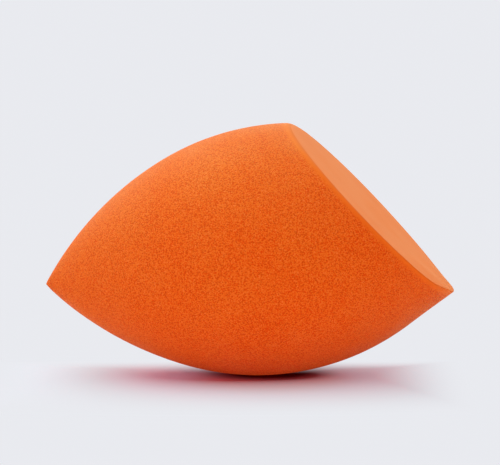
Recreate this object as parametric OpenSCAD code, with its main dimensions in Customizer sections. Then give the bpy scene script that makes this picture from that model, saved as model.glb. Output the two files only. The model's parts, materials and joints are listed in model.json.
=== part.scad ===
/* [Foam body] */
// Diameter of the body at its thickest place
body_d = 38.4; // [35:0.2:42]
// Distance from the pointed tip to the thickest place, along the axis
tip_to_belly = 36; // [33:0.2:38]
// Radius of the side curve around the thickest place
belly_curve_r = 39.4; // [37:0.2:42]
// Turn of that curve before a flatter curve carries on to the tip, degrees
tip_curve_start = 24; // [14:0.5:30]
// Straight taper of the heel, measured from the axis, degrees
heel_taper = 28.3; // [22:0.1:32]

/* [Slanted cut] */
// Distance from the tip to where the cut face crosses the axis
cut_from_tip = 54.5; // [53:0.1:58]
// Slant of the cut face away from a square cut, degrees
cut_slant = 35.6; // [30:0.2:40]

/* [Lying on its side] */
// Rise of the axis towards the cut end when the sponge lies still, degrees
lie_angle = 8.6; // [6:0.2:12]
// Depth of the small flat that the foam's own weight presses underneath
rest_flat_depth = 0.3; // [0.1:0.05:0.8]

/* [Hidden] */
$fn = 180;

// The side outline is drawn as (distance from the axis, distance from the
// tip). A belly arc runs on into a flatter tip arc one way and into a straight
// taper the other way, both tangent to it.
belly_c = [body_d / 2 - belly_curve_r, tip_to_belly];

// The tip arc leaves the belly arc along this unit vector from the belly
// arc's centre, and its extra radius makes it pass through the tip
tip_turn = [cos(tip_curve_start), -sin(tip_curve_start)];
tip_extra_r = (belly_c * belly_c - belly_curve_r ^ 2)
    / (2 * (belly_curve_r + belly_c * tip_turn));
tip_c = belly_c - tip_extra_r * tip_turn;
tip_curve_r = belly_curve_r + tip_extra_r;

// Longer than the body in every direction
reach = tip_to_belly + cut_from_tip + body_d;

// Underneath, as (distance along the axis, height over the axis): where the
// taper starts, its direction, and the corner where the cut face ends it
taper_start = [
    belly_c[1] + belly_curve_r * sin(heel_taper),
    -belly_c[0] - belly_curve_r * cos(heel_taper)
];
taper_dir = [cos(heel_taper), sin(heel_taper)];
cut_normal = [cos(cut_slant), sin(cut_slant)];
cut_centre = [cut_from_tip, 0];
corner = taper_start + taper_dir
    * ((cut_centre - taper_start) * cut_normal) / (taper_dir * cut_normal);

// As it lies, with the tip at zero: how far the corner reaches along the
// floor, and the height of the lowest point of the round body
corner_x = corner[0] * cos(lie_angle) - corner[1] * sin(lie_angle);
lowest_z = belly_c[1] * sin(lie_angle) - belly_c[0] * cos(lie_angle)
    - belly_curve_r;

// Everything beside the crest of the outline, between the rays from the
// belly arc's centre to its two ends
module crest_wedge() {
    polygon([
        belly_c,
        belly_c + reach * [1, -tan(tip_curve_start)],
        belly_c + reach * [1, tan(heel_taper)]
    ]);
}

// The half plane inside the straight taper
module inside_taper() {
    translate(belly_c) rotate(heel_taper) translate([-reach, -reach])
        square([reach + belly_curve_r, 2 * reach]);
}

// Half of the side outline: a tip arc and a taper that cross, with their
// crest rounded by the belly arc
module side_outline() {
    difference() {
        intersection() {
            translate(tip_c) circle(r = tip_curve_r);
            inside_taper();
            square([reach, reach]);
        }
        difference() {
            crest_wedge();
            translate(belly_c) circle(r = belly_curve_r);
        }
    }
}

// The moulded round body before the cut, with its tip at the origin and its
// axis along +X
module round_body() {
    rotate([0, 90, 0]) rotate_extrude() side_outline();
}

// All that the slanted cut takes away
module cut_off() {
    translate([cut_from_tip, 0, 0]) rotate([0, -cut_slant, 0])
        translate([0, -reach / 2, -reach / 2]) cube([reach, reach, reach]);
}

// One piece of foam: the round body, cut on the slant, lying on its side on a
// small flat
module sponge_body() {
    color("darkorange") difference() {
        translate([-corner_x / 2, 0, -lowest_z - rest_flat_depth])
            rotate([0, -lie_angle, 0]) difference() {
                round_body();
                cut_off();
            }
        translate([-reach / 2, -reach / 2, -reach]) cube([reach, reach, reach]);
    }
}

sponge_body();
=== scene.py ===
import json
import math

import bpy
import numpy as np
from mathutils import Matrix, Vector, noise


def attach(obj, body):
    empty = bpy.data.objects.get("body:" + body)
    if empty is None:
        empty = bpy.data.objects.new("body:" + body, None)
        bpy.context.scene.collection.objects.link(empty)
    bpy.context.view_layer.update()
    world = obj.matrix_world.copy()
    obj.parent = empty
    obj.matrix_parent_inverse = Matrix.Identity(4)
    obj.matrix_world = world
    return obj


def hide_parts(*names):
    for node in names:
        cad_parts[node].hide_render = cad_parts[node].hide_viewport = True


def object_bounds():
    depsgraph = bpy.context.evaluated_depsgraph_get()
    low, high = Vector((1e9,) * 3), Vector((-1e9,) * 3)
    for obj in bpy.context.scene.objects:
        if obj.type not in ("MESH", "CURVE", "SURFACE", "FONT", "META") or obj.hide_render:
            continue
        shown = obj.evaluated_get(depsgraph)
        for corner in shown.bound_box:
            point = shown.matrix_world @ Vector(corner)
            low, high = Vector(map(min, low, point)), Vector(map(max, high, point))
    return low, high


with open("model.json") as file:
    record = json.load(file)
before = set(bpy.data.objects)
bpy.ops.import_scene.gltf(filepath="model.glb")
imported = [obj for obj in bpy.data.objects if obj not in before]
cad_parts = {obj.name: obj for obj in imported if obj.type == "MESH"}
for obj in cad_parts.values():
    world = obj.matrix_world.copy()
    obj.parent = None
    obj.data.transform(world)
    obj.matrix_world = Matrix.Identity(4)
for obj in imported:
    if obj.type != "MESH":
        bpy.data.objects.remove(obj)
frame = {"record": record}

cad_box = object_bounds()

MM = 0.001

# The body's driving sizes, as in the part's source, in metres and radians
BODY_R = 19.2 * MM
TIP_TO_BELLY = 36 * MM
BELLY_CURVE_R = 39.4 * MM
TIP_CURVE_START = math.radians(24)
HEEL_TAPER = math.radians(28.3)
LIE_ANGLE = math.radians(8.6)
REST_FLAT_DEPTH = 0.3 * MM

# Soft edges that the mould and the cut leave: the tip's bluntness, and how far
# from the sharp edge its rounding begins at the top, the sides and the corner
TIP_BLUNT = 0.1 * MM
EDGE_ROUND_TOP = 0.9 * MM
EDGE_ROUND_SIDE = 0.28 * MM
EDGE_ROUND_LOW = 0.2 * MM

# How far over that rounding the skin's material runs
SKIN_SHARE = 0.75

# Where the soft foam strays from the exact body: the low corner is drawn out, the
# cut's edge beside it on the near side is lifted, and the tip hangs. For each, how
# far it moves and how far round it that reaches, and where from the corner the
# lift is
CORNER_PULL = np.array([0.42, 0, 0.08]) * MM
CORNER_PULL_REACH = np.array([6, 4, 6]) * MM
BESIDE_CORNER = np.array([-1.2, -6.5, 1.4]) * MM
BESIDE_PULL = np.array([0.1, 0, 0.5]) * MM
BESIDE_PULL_REACH = np.array([7, 3.8, 7]) * MM
TIP_PULL = np.array([0, 0, -0.25]) * MM
TIP_PULL_REACH = np.array([10, 12, 10]) * MM

# Over what height the underside eases on to the floor
PRESS_EASE = 0.03 * MM

# The mesh: columns round the body, rings from the tip to the cut edge, rings
# in the edge's rounding, the least distance between columns, and how often the
# search for the cut's edge halves its range
COLUMNS = 448
RINGS = 208
EDGE_RINGS = 7
LEAST_SPACING = 0.16 * MM
EDGE_HALVINGS = 50

# Relief that is modelled: slow unevenness of the skin, and pebbling, of which the
# cut face has a share. Each noise is shifted by this much times its seed
SWELL_DEPTH = 0.03 * MM
SWELL_SIZE = 9 * MM
PEBBLE_DEPTH = 0.008 * MM
PEBBLE_SIZE = 0.8 * MM
CUT_PEBBLE_SHARE = 0.25
NOISE_SHIFT = Vector((7.3, 3.1, 5.7))

# The map for baking: the skin is one strip, and the cut face lies past it
UV_MARGIN = 0.01
UV_SKIN_TOP = 0.54
UV_FACE_CENTRE = (0.5, 0.75)
UV_PER_METRE = (1 - 2 * UV_MARGIN) / (2 * math.pi * BODY_R)
UV_HALF_STRIP = 0.5

# Which of the two materials a face has
SKIN, CUT = 0, 1

# The skin's colour, where it is a little redder, and its flecks, dips and
# pores, the dips and pores darker partly as the foam's own grain and partly as
# painted shade where the skin is sunk; and the paler foam that the cut lays
# open, paler partly as its own colour and partly as painted sheen
FOAM = (0.82, 0.096, 0.012)
FOAM_REDDER = (0.81, 0.089, 0.009)
FLECK = (0.85, 0.128, 0.042)
DIP = (0.74, 0.0, 0.0)
PORE = (0.63, 0.0, 0.0)
CUT_FOAM = (0.91, 0.148, 0.045)
CUT_FOAM_REDDER = (0.90, 0.138, 0.042)
CUT_FLECK = (0.93, 0.184, 0.058)

# The foam's textures, at about so many to the millimetre: mottling, pores, and
# the broad clouds in which colour and roughness vary. Then what both noises share
SKIN_MOTTLES = 6.0
SKIN_PORES = 2.9
SKIN_CLOUDS = 0.13
CUT_MOTTLES = 3.5
CUT_CLOUDS = 0.11
TEXTURE_DETAIL = 2.0
MOTTLE_ROUGHNESS = 0.6
CLOUD_ROUGHNESS = 0.5

# From which value of its texture to which each of these comes in or gives out:
# pores by distance from their middles, dips and flecks by the mottling, and
# redder foam by the clouds
PORE_SPAN = (0.10, 0.50)
DIP_SPAN = (0.38, 0.54)
FLECK_SPAN = (0.54, 0.72)
CUT_FLECK_SPAN = (0.5, 1.0)
CLOUD_SPAN = (0.3, 0.7)

# From which distance to which from the cut the skin's grain comes in, in millimetres
GRAIN_SPAN = (0.2, 1.1)

# The foam's finish: roughness across the clouds, the bump's depth, and the soft
# gloss and fuzz that the skin and the cut face share
SKIN_ROUGHNESS = (0.66, 0.74)
CUT_ROUGHNESS = (0.66, 0.72)
SKIN_BUMP = 0.02 * MM
CUT_BUMP = 0.004 * MM
FOAM_GLOSS = {
    "IOR": 1.5,
    "Specular IOR Level": 0.95,
    "Specular Tint": (0.2, 1, 0.04, 1),
    "Sheen Weight": 0.15,
    "Sheen Roughness": 0.5,
    "Sheen Tint": (0.6, 0.2, 0.04, 1),
}

# The camera: how far it stands, how far above level it looks from, the point
# at the picture's middle, the photograph's scale there and its width, the
# sensor's width in millimetres, and the nearest that the camera sees
CAMERA_DISTANCE = 277 * MM
CAMERA_RISE = math.radians(14.1)
CAMERA_AIM = Vector((0.25 * MM, 0, 21.75 * MM))
PIXELS_PER_METRE = 6500
PHOTO_W = 500
SENSOR = 36.0
CAMERA_NEAR = 10 * MM

# Half the floor's side; its colour, darker and bluer than the studio white and seen
# only round the shadow, so that it deepens the shadow as painted shade; and the
# painted shadows round the foam, pink and red, the red as the foam's glow, and
# darkest where the two touch, from the widest to the one where the two touch:
# colour, centre, reach, and the share of that reach within which it is full
FLOOR_HALF = 3.0
FLOOR = (0.65, 0.62, 0.80)
FLOOR_PAINTED_SHADOWS = (
    ((0.95, 0.66, 1.00), (4.0 * MM, -4.0 * MM, 0), (30 * MM, 20 * MM, 1), 0.5),
    ((0.95, 0.24, 0.30), (3.4 * MM, -5.8 * MM, 0), (15 * MM, 8.4 * MM, 1), 0.4),
    ((0.12, 0.0, 0.0), (3.2 * MM, -3.2 * MM, 0), (12 * MM, 4.3 * MM, 1), 0.35),
)

# The floor as it lights the foam: painted red right under it, standing in for the shade
# and the foam's red glow there, within a share of a reach, and from there to the whole
# reach turning a plain warm colour
FLOOR_BOUNCE = (0.87, 0.66, 0.48)
FLOOR_BOUNCE_PAINTED_RED = (0.74, 0.05, 0.0)
BOUNCE_REACH = (20 * MM, 28 * MM, 1)
BOUNCE_NEAR_SHARE = 0.2

# The studio white that the floor turns, by the strongest of three fades, so that it
# paints over the real shadow and the shadow's outline is painted: outwards from the
# shadow's centre, past a share of a reach and hastened by a power, along from its
# middle to its ends, past a share of their reach, and back from one depth to another
STUDIO_WHITE = (0.815, 0.825, 0.865, 1)
SHADOW_CENTRE = (-2.0 * MM, -4.0 * MM, 0)
SHADOW_REACH = (90 * MM, 19 * MM, 1)
SHADOW_SHARE = 0.14
SHADOW_POWER = 0.42
SHADOW_MIDDLE = (-4.0 * MM, 0, 0)
SHADOW_ENDS = (38 * MM, 1, 1)
SHADOW_ENDS_SHARE = 0.43
SHADOW_BEHIND = (-3.4 * MM, 3.2 * MM)

# The softboxes: a touch yellow-green from above and the sides, and rosier from
# the front. Name, place, width and height in metres, watts and colour
UPPER_LIGHT = (0.85, 1.0, 0.82)
FRONT_LIGHT = (1.0, 0.79, 0.76)
SOFTBOXES = (
    ("key_overhead", (-0.27, 0.44, 0.86), (1.4, 1.4), 14.4, UPPER_LIGHT),
    ("overhead", (-0.1, 0.1, 1.0), (1.4, 1.4), 4.6, UPPER_LIGHT),
    ("back_wall", (0, 1.0, 0.3), (2.0, 0.6), 4.3, UPPER_LIGHT),
    ("low_front", (0.37, -1.14, 0.13), (0.6, 0.26), 3.9, FRONT_LIGHT),
    ("front", (0, -1.1, 0.35), (1.0, 0.4), 2.5, FRONT_LIGHT),
    ("left", (-1.1, -0.1, 0.4), (0.8, 0.8), 3.4, UPPER_LIGHT),
)

# The even light from all round
WORLD_COLOUR = (1, 1, 1, 1)
WORLD_STRENGTH = 0.2


# The side outline: a tip arc, a belly arc and a straight taper, tangent to
# each other, as (distance from the axis, distance from the tip)
belly_c = np.array([BODY_R - BELLY_CURVE_R, TIP_TO_BELLY])
tip_turn = np.array([math.cos(TIP_CURVE_START), -math.sin(TIP_CURVE_START)])
tip_extra_r = (belly_c @ belly_c - BELLY_CURVE_R**2) / (2 * (BELLY_CURVE_R + belly_c @ tip_turn))
tip_c = belly_c - tip_extra_r * tip_turn
tip_curve_r = BELLY_CURVE_R + tip_extra_r
tip_join = TIP_TO_BELLY - BELLY_CURVE_R * math.sin(TIP_CURVE_START)
taper_join = TIP_TO_BELLY + BELLY_CURVE_R * math.sin(HEEL_TAPER)
taper_join_r = belly_c[0] + BELLY_CURVE_R * math.cos(HEEL_TAPER)

# Where the tip is as the sponge lies
lowest = TIP_TO_BELLY * math.sin(LIE_ANGLE) - belly_c[0] * math.cos(LIE_ANGLE) - BELLY_CURVE_R
tip_x = cad_box[0][0]
tip_z = -lowest - REST_FLAT_DEPTH

# The cut plane, from the record's mount on it
mounts = {m["name"]: m for m in frame["record"]["mounts"]}
cut_point = np.array(mounts["cut_face"]["pos_m"])
cut_normal = np.array(mounts["cut_face"]["axis"])
cut_normal = cut_normal / np.linalg.norm(cut_normal)
cut_down = np.array([cut_normal[2], 0, -cut_normal[0]])


def outline_r(s):
    """The body's radius at distance s from the tip along its axis."""
    tip = tip_c[0] + np.sqrt(np.maximum(tip_curve_r**2 - (s - tip_c[1]) ** 2, 0))
    belly = belly_c[0] + np.sqrt(np.maximum(BELLY_CURVE_R**2 - (s - TIP_TO_BELLY) ** 2, 0))
    taper = taper_join_r - (s - taper_join) * math.tan(HEEL_TAPER)
    return np.where(s < tip_join, tip, np.where(s > taper_join, taper, belly))


def blunted_r(s):
    """The same with its tip blunted: a hyperbola that meets the axis at TIP_BLUNT."""
    return np.sqrt(np.maximum(outline_r(s) ** 2 - outline_r(np.array(TIP_BLUNT)) ** 2, 0))


def laid(s, across, up):
    """A point of the body, along its axis, across and up, as the sponge lies."""
    level, rise = math.cos(LIE_ANGLE), math.sin(LIE_ANGLE)
    return np.stack([tip_x + s * level - up * rise, across, tip_z + s * rise + up * level], axis=-1)


def skin(s, turn):
    """The point of the round body at s, turned by turn from the underside."""
    r = blunted_r(s)
    return laid(s, -r * np.sin(turn), -r * np.cos(turn))


def edge_s(turn):
    """How far from the tip the cut plane ends the body at each turn, by bisection."""
    low = np.full_like(turn, TIP_TO_BELLY / 2)
    high = np.full_like(turn, TIP_TO_BELLY * 2)
    for _ in range(EDGE_HALVINGS):
        mid = (low + high) / 2
        inside = (skin(mid, turn) - cut_point) @ cut_normal < 0
        low, high = np.where(inside, mid, low), np.where(inside, high, mid)
    return (low + high) / 2


def edge_round(turn):
    """How far from the sharp edge its rounding begins: widest at the top, least at the low corner."""
    low = np.clip(np.cos(turn), 0, 1) ** 2
    top = np.clip(-np.cos(turn), 0, 1) ** 2
    to_top = (EDGE_ROUND_TOP - EDGE_ROUND_SIDE) * top
    to_low = (EDGE_ROUND_LOW - EDGE_ROUND_SIDE) * low
    return EDGE_ROUND_SIDE + to_top + to_low


def turns(count):
    """Evenly spaced turns round the body, from the underside."""
    return np.arange(count) * 2 * math.pi / count


def ring_count(spacing):
    """How many columns a ring has, halved while they are closer than LEAST_SPACING.

    spacing is how far apart all the columns would be.
    """
    count = COLUMNS
    while spacing * COLUMNS / count < LEAST_SPACING and count % 2 == 0:
        count //= 2
    return count


class Rings:
    """Rings of points, each with as many as the last, half as many or twice as many, joined by faces."""

    def __init__(self):
        self.points, self.strip, self.faces, self.parts = [], [], [], []
        self.last, self.total = None, 0

    def add(self, points, part, turn, along):
        """Adds a ring. turn and along are its places in the skin's strip of the map."""
        ids = range(self.total, self.total + len(points))
        self.points.append(points)
        self.strip.append(np.stack([turn / (2 * math.pi), np.full(len(points), along)], axis=-1))
        self.total += len(points)
        if self.last is not None:
            made = self.joined(self.last, ids)
            self.faces += made
            self.parts += [part] * len(made)
        self.last = ids

    @staticmethod
    def joined(a, b):
        """The faces between ring a and ring b, either of which may be a single point."""
        n, m = len(a), len(b)
        if n == 1:
            return [(a[0], b[i], b[(i + 1) % m]) for i in range(m)]
        if m == 1:
            return [(a[(i + 1) % n], a[i], b[0]) for i in range(n)]
        if n == m:
            return [(a[i], b[i], b[(i + 1) % m], a[(i + 1) % n]) for i in range(n)]
        made = []
        for i in range(min(n, m)):
            if n < m:
                a0, a1 = a[i], a[(i + 1) % n]
                b0, b1, b2 = b[2 * i], b[2 * i + 1], b[(2 * i + 2) % m]
                made += [(a0, b0, b1), (a0, b1, a1), (a1, b1, b2)]
            else:
                a0, a1, a2 = a[2 * i], a[2 * i + 1], a[(2 * i + 2) % n]
                b0, b1 = b[i], b[(i + 1) % m]
                made += [(a0, b0, a1), (a1, b0, b1), (a1, b1, a2)]
        return made


def add_skin(rings):
    """The skin, from the blunted tip to where the edge's rounding begins."""
    rings.add(skin(np.array([TIP_BLUNT]), np.zeros(1)), SKIN, np.zeros(1), 0)
    for k in range(1, RINGS + 1):
        share = k / RINGS
        near_s = TIP_BLUNT + share * TIP_TO_BELLY
        turn = turns(ring_count(2 * math.pi * outline_r(near_s) / COLUMNS))
        end = edge_s(turn) - edge_round(turn)
        rings.add(skin(TIP_BLUNT + (end - TIP_BLUNT) * share, turn), SKIN, turn, share)


def add_edge(rings):
    """The edge's rounding: a curve from the skin to the cut face, drawn towards the sharp edge.

    Gives its last ring, and the cut face's centre, midway between the edge's lowest and highest points.
    """
    turn = turns(COLUMNS)
    end = edge_s(turn)
    before = skin(end - edge_round(turn), turn)
    edge = skin(end, turn)
    centre = (edge[0] + edge[COLUMNS // 2]) / 2
    inward = centre - edge
    after = edge + inward * (edge_round(turn) / np.linalg.norm(inward, axis=1))[:, None]
    for k in range(1, EDGE_RINGS + 1):
        u = k / EDGE_RINGS
        part = SKIN if u <= SKIN_SHARE else CUT
        rounded = before * (1 - u) ** 2 + edge * 2 * u * (1 - u) + after * u**2
        rings.add(rounded, part, turn, 1 + u / RINGS)
    return after, centre


def add_face(rings, rim, centre):
    """The cut face, from its rim inwards, with the rings about as far apart as the columns."""
    turn = turns(COLUMNS)
    reach = np.linalg.norm(rim - centre, axis=1).mean()
    step = 2 * math.pi * reach / COLUMNS
    share = 1 - step / reach
    while share > step / reach:
        pick = COLUMNS // ring_count(step * share)
        rings.add(centre + (rim[::pick] - centre) * share, CUT, turn[::pick], 1)
        share -= max(step * share * pick, step) / reach
    rings.add(centre[None], CUT, np.zeros(1), 1)


def pull(p, at, by, reach):
    """Moves the point at, and less and less of what is round it."""
    away = (p - at) / reach
    return p + by * np.exp(-(away**2).sum(axis=1))[:, None]


def soft_points(points):
    """The body's points with the corner drawn out, the edge beside it lifted and the tip hanging."""
    corner = skin(edge_s(np.zeros(1)), np.zeros(1))[0]
    points = pull(points, corner, CORNER_PULL, CORNER_PULL_REACH)
    points = pull(points, corner + BESIDE_CORNER, BESIDE_PULL, BESIDE_PULL_REACH)
    return pull(points, np.array([tip_x, 0, tip_z]), TIP_PULL, TIP_PULL_REACH)


def noise_at(points, size, seed):
    """Smooth noise with features of about that size, the same on every run."""
    shift = NOISE_SHIFT * seed
    return np.array([noise.noise(Vector(point) / size + shift) for point in points])


def relief(points):
    """How far the surface stands out at each point."""
    on_skin = np.clip(np.abs((points - cut_point) @ cut_normal) / EDGE_ROUND_TOP, 0, 1)
    swell = SWELL_DEPTH * noise_at(points, SWELL_SIZE, seed=1)
    pebble = PEBBLE_DEPTH * noise_at(points, PEBBLE_SIZE, seed=2)
    return swell * on_skin + pebble * (CUT_PEBBLE_SHARE + (1 - CUT_PEBBLE_SHARE) * on_skin)


def pressed_heights(z):
    """The heights with the underside pressed flat on the floor."""
    return (z + np.sqrt(z**2 + PRESS_EASE**2)) / 2


def add_map(mesh, points, strip, centre):
    """Lays the skin out as one strip, with its seam underneath, and the cut face as it is."""
    on_face = np.stack([(points - centre) @ cut_down, points[:, 1]], axis=-1) * UV_PER_METRE + UV_FACE_CENTRE
    uvs = []
    for face in mesh.polygons:
        ids = list(face.vertices)
        if face.material_index == CUT:
            uvs.append(on_face[ids])
            continue
        uv = strip[ids]
        crosses_seam = np.ptp(uv[:, 0]) > UV_HALF_STRIP
        if crosses_seam:
            uv[uv[:, 0] < UV_HALF_STRIP, 0] += 1
        starts_at_tip = ids[0] == 0
        if starts_at_tip:
            uv[0, 0] = uv[1:, 0].mean()
        uvs.append(UV_MARGIN + uv * (1 - 2 * UV_MARGIN, UV_SKIN_TOP - 2 * UV_MARGIN))
    layer = mesh.uv_layers.new(name="OFBake")
    layer.data.foreach_set("uv", np.concatenate(uvs).ravel())


def make_sponge():
    """The sponge as one mesh, with the skin and the cut face as its two materials."""
    rings = Rings()
    add_skin(rings)
    rim, centre = add_edge(rings)
    add_face(rings, rim, centre)
    points = soft_points(np.concatenate(rings.points))
    mesh = bpy.data.meshes.new("foam_sponge")
    mesh.from_pydata(points.tolist(), [], rings.faces)
    mesh.materials.append(foam_skin())
    mesh.materials.append(cut_foam())
    mesh.polygons.foreach_set("material_index", rings.parts)
    mesh.polygons.foreach_set("use_smooth", [True] * len(rings.faces))
    mesh.update()
    add_map(mesh, points, np.concatenate(rings.strip), centre)

    normals = np.empty(len(points) * 3)
    mesh.vertex_normals.foreach_get("vector", normals)
    points = points + normals.reshape(-1, 3) * relief(points)[:, None]
    points[:, 2] = pressed_heights(points[:, 2])
    mesh.vertices.foreach_set("co", points.ravel())
    mesh.update()
    obj = bpy.data.objects.new("foam_sponge", mesh)
    bpy.context.scene.collection.objects.link(obj)
    return obj


class Nodes:
    """Builds a material. Calls add nodes, fill their sockets with values or links, and give an output."""

    def __init__(self, name):
        self.material = bpy.data.materials.new(name)
        self.material.use_nodes = True
        self.tree = self.material.node_tree
        self.shader = self.tree.nodes["Principled BSDF"]

    def fill(self, node, sockets):
        for key, value in sockets.items():
            if isinstance(value, bpy.types.NodeSocket):
                self.tree.links.new(value, node.inputs[key])
            else:
                node.inputs[key].default_value = value

    def add(self, kind, output, sockets, **settings):
        node = self.tree.nodes.new("ShaderNode" + kind)
        for key, value in settings.items():
            setattr(node, key, value)
        self.fill(node, sockets)
        return node.outputs[output]

    def math(self, operation, a, b):
        return self.add("Math", "Value", {0: a, 1: b}, operation=operation)

    def ramp(self, value, low, high, to_low=0.0, to_high=1.0):
        """value between low and high, eased, as to_low to to_high."""
        sockets = {"Value": value, "From Min": low, "From Max": high, "To Min": to_low, "To Max": to_high}
        return self.add("MapRange", "Result", sockets, interpolation_type="SMOOTHSTEP")

    def mix(self, share, a, b):
        """Colour a, with a share of colour b. Colours are tuples or links."""
        a, b = [c if isinstance(c, bpy.types.NodeSocket) else (*c, 1) for c in (a, b)]
        # This node's colours are its inputs 6 and 7 and its output 2
        return self.add("Mix", 2, {0: share, 6: a, 7: b}, data_type="RGBA")

    def mm_place(self):
        """The place on the object, in millimetres."""
        place = self.add("TexCoord", "Object", {})
        return self.add("Mapping", "Vector", {"Vector": place, "Scale": (1 / MM,) * 3})

    def texture(self, place, scale, roughness):
        """Noise with about scale features to the millimetre."""
        sockets = {"Vector": place, "Scale": scale, "Detail": TEXTURE_DETAIL, "Roughness": roughness}
        return self.add("TexNoise", "Fac", sockets)

    def reach(self, centre, size):
        """Distance from centre, as a share of size along each axis."""
        place = self.add("TexCoord", "Object", {})
        away = self.add("VectorMath", "Vector", {0: place, 1: centre}, operation="SUBTRACT")
        scaled = self.add("VectorMath", "Vector", {0: away, 1: size}, operation="DIVIDE")
        return self.add("VectorMath", "Value", {0: scaled}, operation="LENGTH")


def finish_foam(nodes, colour, height, bump_depth, roughness):
    """What both kinds of surface share: the bump, and the soft gloss and fuzz of fine foam."""
    bump = nodes.add("Bump", "Normal", {"Height": height, "Strength": 1.0, "Distance": bump_depth})
    own = {"Base Color": colour, "Normal": bump, "Roughness": roughness}
    nodes.fill(nodes.shader, own | FOAM_GLOSS)
    return nodes.material


def foam_skin():
    """The moulded skin: fine mottling and small open pores, which give out close to the cut."""
    nodes = Nodes("foam_skin")
    place = nodes.mm_place()
    offset = -float(cut_point @ cut_normal) / MM
    along = nodes.add("VectorMath", "Value", {0: place, 1: tuple(cut_normal)}, operation="DOT_PRODUCT")
    from_cut = nodes.math("MULTIPLY", nodes.math("ADD", along, offset), -1.0)
    grown = nodes.ramp(from_cut, *GRAIN_SPAN)

    mottle = nodes.texture(place, SKIN_MOTTLES, MOTTLE_ROUGHNESS)
    cell = nodes.add("TexVoronoi", "Distance", {"Vector": place, "Scale": SKIN_PORES})
    cloud = nodes.texture(place, SKIN_CLOUDS, CLOUD_ROUGHNESS)
    # Dips and pores: darker where the skin is sunk, partly the foam's grain and partly painted shade
    pore = nodes.math("MULTIPLY", nodes.ramp(cell, *PORE_SPAN, to_low=1.0, to_high=0.0), grown)
    dip = nodes.math("MULTIPLY", nodes.ramp(mottle, *DIP_SPAN, to_low=1.0, to_high=0.0), grown)
    fleck = nodes.math("MULTIPLY", nodes.ramp(mottle, *FLECK_SPAN), grown)

    colour = nodes.mix(nodes.ramp(cloud, *CLOUD_SPAN), FOAM, FOAM_REDDER)
    colour = nodes.mix(fleck, colour, FLECK)
    colour = nodes.mix(dip, colour, DIP)
    colour = nodes.mix(pore, colour, PORE)
    height = nodes.math("SUBTRACT", nodes.math("SUBTRACT", fleck, dip), pore)
    roughness = nodes.ramp(cloud, *CLOUD_SPAN, *SKIN_ROUGHNESS)
    return finish_foam(nodes, colour, height, SKIN_BUMP, roughness)


def cut_foam():
    """The cut face: the same foam, sliced smooth, with its cells hardly showing, and paler partly from
    painted sheen.
    """
    nodes = Nodes("cut_foam")
    place = nodes.mm_place()
    mottle = nodes.texture(place, CUT_MOTTLES, MOTTLE_ROUGHNESS)
    cloud = nodes.texture(place, CUT_CLOUDS, CLOUD_ROUGHNESS)
    colour = nodes.mix(nodes.ramp(cloud, *CLOUD_SPAN), CUT_FOAM, CUT_FOAM_REDDER)
    colour = nodes.mix(nodes.ramp(mottle, *CUT_FLECK_SPAN), colour, CUT_FLECK)
    roughness = nodes.ramp(cloud, *CLOUD_SPAN, *CUT_ROUGHNESS)
    return finish_foam(nodes, colour, mottle, CUT_BUMP, roughness)


def floor_fade(nodes):
    """How far the floor has turned studio white, painting over the real shadow."""
    out = nodes.ramp(nodes.reach(SHADOW_CENTRE, SHADOW_REACH), SHADOW_SHARE, 1.0)
    far = nodes.math("POWER", out, SHADOW_POWER)
    ends = nodes.ramp(nodes.reach(SHADOW_MIDDLE, SHADOW_ENDS), SHADOW_ENDS_SHARE, 1.0)
    far = nodes.math("MAXIMUM", far, ends)
    depth = nodes.add("SeparateXYZ", "Y", {0: nodes.add("TexCoord", "Object", {})})
    return nodes.math("MAXIMUM", far, nodes.ramp(depth, *SHADOW_BEHIND))


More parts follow.
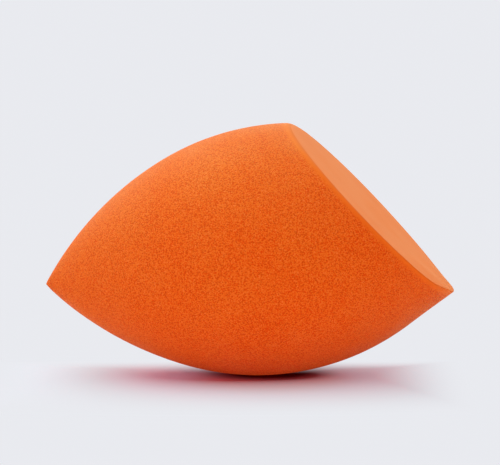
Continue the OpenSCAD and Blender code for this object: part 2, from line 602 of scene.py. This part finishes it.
def pale_floor():
    """Keeps the object's shadow near it, with painted shadows and red glow round the foam, and shows plain
    studio white further off.
    """
    nodes = Nodes("pale_floor")
    ray = nodes.tree.nodes.new("ShaderNodeLightPath").outputs
    seen = nodes.math("MAXIMUM", ray["Is Camera Ray"], ray["Is Transmission Ray"])
    seen = nodes.math("MAXIMUM", seen, ray["Is Glossy Ray"])
    colour = FLOOR
    # Painted shadows: pink, red and dark patches laid round the foam where its shade and glow fall
    for painted_shadow, centre, size, full in FLOOR_PAINTED_SHADOWS:
        colour = nodes.mix(nodes.ramp(nodes.reach(centre, size), full, 1.0), painted_shadow, colour)
    # Painted red under the foam where the floor lights it, standing in for shade and the foam's glow
    away = nodes.ramp(nodes.reach((0, 0, 0), BOUNCE_REACH), BOUNCE_NEAR_SHARE, 1.0)
    bounce = nodes.mix(away, FLOOR_BOUNCE_PAINTED_RED, FLOOR_BOUNCE)
    colour = nodes.mix(seen, bounce, colour)
    nodes.fill(nodes.shader, {"Base Color": colour, "Roughness": 1.0, "Specular IOR Level": 0.0})

    share = nodes.math("MULTIPLY", floor_fade(nodes), seen)
    plain = nodes.add("Emission", "Emission", {"Color": STUDIO_WHITE, "Strength": 1.0})
    shown = nodes.add("MixShader", "Shader", {0: share, 1: nodes.shader.outputs["BSDF"], 2: plain})
    nodes.tree.links.new(shown, nodes.tree.nodes["Material Output"].inputs["Surface"])
    return nodes.material


def make_floor():
    """The floor, as stage: one square with the origin at its middle."""
    mesh = bpy.data.meshes.new("floor")
    corners = ((-1, -1), (1, -1), (1, 1), (-1, 1))
    mesh.from_pydata([(x * FLOOR_HALF, y * FLOOR_HALF, 0) for x, y in corners], [], [(0, 1, 2, 3)])
    mesh.materials.append(pale_floor())
    floor = bpy.data.objects.new("floor", mesh)
    bpy.context.scene.collection.objects.link(floor)


def make_world():
    """Plain white light from all round."""
    world = bpy.data.worlds.new("studio")
    bpy.context.scene.world = world
    world.use_nodes = True
    background = world.node_tree.nodes["Background"]
    background.inputs["Color"].default_value = WORLD_COLOUR
    background.inputs["Strength"].default_value = WORLD_STRENGTH


def softbox(name, place, size, watts, colour):
    """A rectangular lamp that faces the origin."""
    light = bpy.data.lights.new(name, "AREA")
    light.shape = "RECTANGLE"
    light.size, light.size_y = size
    light.energy = watts
    light.color = colour
    obj = bpy.data.objects.new(name, light)
    obj.location = place
    obj.rotation_euler = (-Vector(place)).to_track_quat("-Z", "Y").to_euler()
    bpy.context.scene.collection.objects.link(obj)


def make_camera():
    """The photograph's camera, with the lens that gives its scale at the aim."""
    cam = bpy.data.cameras.new("camera")
    cam.sensor_width = SENSOR
    cam.lens = SENSOR * CAMERA_DISTANCE * PIXELS_PER_METRE / PHOTO_W
    cam.clip_start = CAMERA_NEAR
    obj = bpy.data.objects.new("camera", cam)
    away = Vector((0, -math.cos(CAMERA_RISE), math.sin(CAMERA_RISE)))
    obj.location = CAMERA_AIM + away * CAMERA_DISTANCE
    obj.rotation_euler = (-away).to_track_quat("-Z", "Y").to_euler()
    bpy.context.scene.collection.objects.link(obj)
    bpy.context.scene.camera = obj


make_camera()
sponge = make_sponge()
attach(sponge, "root")
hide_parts("sponge_body")

make_floor()
make_world()
for lamp in SOFTBOXES:
    softbox(*lamp)
bpy.context.scene.view_settings.view_transform = "Standard"
